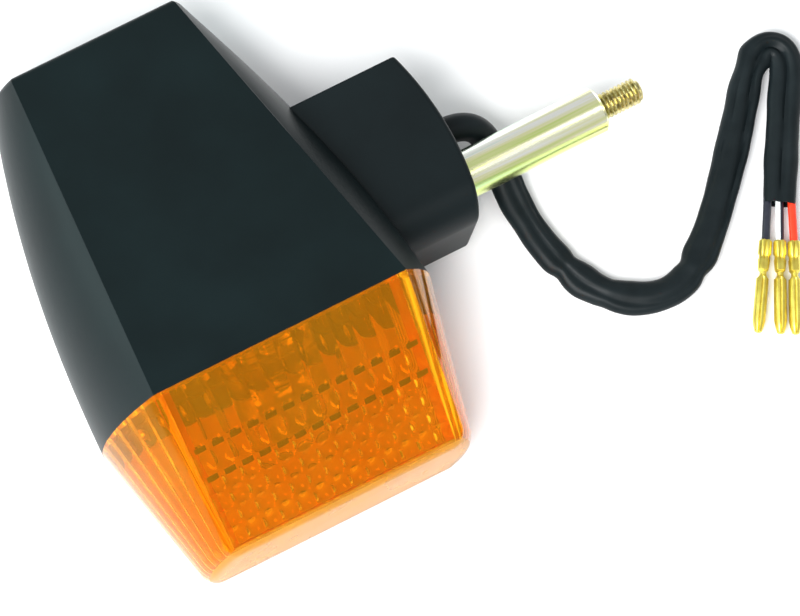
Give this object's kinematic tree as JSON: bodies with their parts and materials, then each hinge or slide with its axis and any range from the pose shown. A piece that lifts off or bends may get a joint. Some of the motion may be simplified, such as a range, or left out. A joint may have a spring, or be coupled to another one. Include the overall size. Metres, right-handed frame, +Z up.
{
  "type": "motorcycle turn signal indicator",
  "caption": "Amber-lensed turn signal with a tapered black housing, a side arm with a steel mounting stem, a bayonet bulb inside and a sleeved lead ending in bullet terminals.",
  "frame": {"origin": "on the flat underside that the lamp rests on, below the middle of the housing", "axes": "+Z up from the underside, +X along the mounting stem towards its threaded stud, -Y the way the lens faces"},
  "size_m": [0.1893, 0.126, 0.046],
  "materials": {
    "housing_plastic": "fine matte moulding",
    "lens_amber": "clear amber with moulded prisms",
    "arm_rubber": "firm smooth rubber",
    "seal_rubber": "soft",
    "plated_steel": "yellow-zinc plated",
    "bright_steel": "zinc plated",
    "brass": "bright",
    "reflector_silver": "vacuum-metallised",
    "insulator": "phenolic board",
    "black_glass": "vitrite",
    "bulb_glass": "clear",
    "solder": "tinned",
    "tungsten": "dark",
    "sleeve_vinyl": "soft vinyl",
    "wire_black_vinyl": "vinyl",
    "wire_white_vinyl": "vinyl",
    "wire_red_vinyl": "vinyl"
  },
  "bodies": {
    "lamp": {"housing": "housing_plastic", "lens": "lens_amber", "lens_gasket": "seal_rubber", "lens_screws": "bright_steel", "reflector": "reflector_silver", "socket_shell": "bright_steel", "contact_spring": "bright_steel", "arm": "arm_rubber", "stem": "plated_steel", "stem_washer": "bright_steel", "stem_spring_washer": "bright_steel", "stem_nut": "bright_steel", "lead_grommet": "seal_rubber", "wire_sleeve": "sleeve_vinyl", "inner_wires": "wire_black_vinyl", "wire_black": "wire_black_vinyl", "wire_white": "wire_white_vinyl", "wire_red": "wire_red_vinyl", "terminal_black": "brass", "terminal_white": "brass", "terminal_red": "brass"},
    "contact": {"contact_plate": "insulator", "contact_pins": "brass"},
    "bulb": {"bulb_base": "brass", "bulb_insulator": "black_glass", "bulb_contacts": "solder", "bulb_glass": "bulb_glass", "filament_support": "bulb_glass", "filament_main": "tungsten", "filament_side": "tungsten"}
  },
  "joints": [
    {"name": "contact_push", "type": "slide", "parent": "lamp", "child": "contact", "axis": [0, 1, 0], "range_m": [0, 0.0025], "stiffness_N_per_m": 600, "springref_m": -0.003, "deforming": ["contact_spring"]},
    {"name": "bulb_twist", "type": "hinge", "parent": "contact", "child": "bulb", "pos_m": [0, -0.022, 0.019], "axis": [0, 1, 0], "range_deg": [0, 20]}
  ]
}
